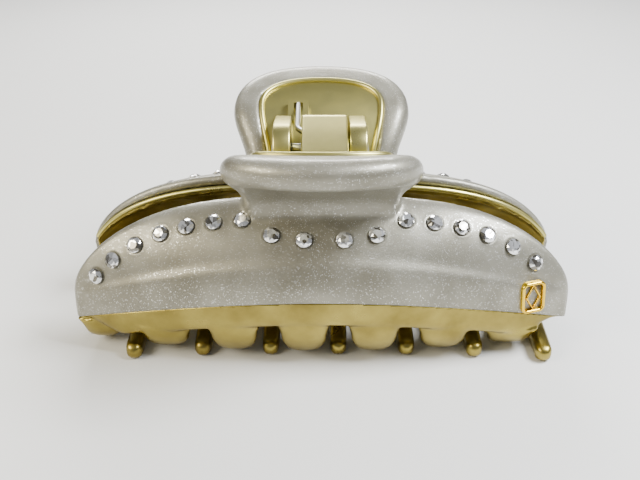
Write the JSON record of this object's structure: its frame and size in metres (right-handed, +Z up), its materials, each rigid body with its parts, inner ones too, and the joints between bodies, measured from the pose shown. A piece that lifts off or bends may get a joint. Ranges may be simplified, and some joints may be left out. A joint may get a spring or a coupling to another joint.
{
  "type": "claw clip",
  "caption": "Hair claw clip with two sprung jaws of interlocking teeth, pearl outer shells over gold liners, rounded thumb tabs and a row of round clear stones.",
  "frame": {"origin": "on the ground under the tooth flats, below the middle of the hinge", "axes": "+X along the clip, +Y from the front jaw to the back jaw, +Z up to the thumb tabs"},
  "size_m": [0.089, 0.0478, 0.044],
  "materials": {
    "pearl": "satin pearl lacquer with fine glitter over moulded acetate",
    "gold": "pale satin gold plating",
    "steel": "bright drawn wire",
    "badge": "polished rich gold plating",
    "crystal": "clear foil-backed faceted crystal"
  },
  "bodies": {
    "back_jaw": {"back_shell": "pearl", "back_liner": "gold", "hinge_pin": "steel", "torsion_spring": "steel", "back_stone_01": "crystal", "back_stone_02": "crystal", "back_stone_03": "crystal", "back_stone_04": "crystal", "back_stone_05": "crystal", "back_stone_06": "crystal", "back_stone_07": "crystal", "back_stone_08": "crystal", "back_stone_09": "crystal", "back_stone_10": "crystal", "back_stone_11": "crystal", "back_stone_12": "crystal", "back_stone_13": "crystal", "back_stone_14": "crystal", "back_stone_15": "crystal", "back_stone_16": "crystal", "back_stone_17": "crystal", "back_stone_18": "crystal"},
    "front_jaw": {"front_shell": "pearl", "front_liner": "gold", "badge_frame": "badge", "front_stone_01": "crystal", "front_stone_02": "crystal", "front_stone_03": "crystal", "front_stone_04": "crystal", "front_stone_05": "crystal", "front_stone_06": "crystal", "front_stone_07": "crystal", "front_stone_08": "crystal", "front_stone_09": "crystal", "front_stone_10": "crystal", "front_stone_11": "crystal", "front_stone_12": "crystal", "front_stone_13": "crystal", "front_stone_14": "crystal", "front_stone_15": "crystal", "front_stone_16": "crystal", "front_stone_17": "crystal"}
  },
  "joints": [
    {"name": "jaw_hinge", "type": "hinge", "parent": "back_jaw", "child": "front_jaw", "pos_m": [0, 0, 0.036], "axis": [-1, 0, 0], "range_deg": [0, 65], "stiffness_Nm_per_rad": 0.2, "springref_deg": -57.3, "deforming": ["torsion_spring"]}
  ]
}
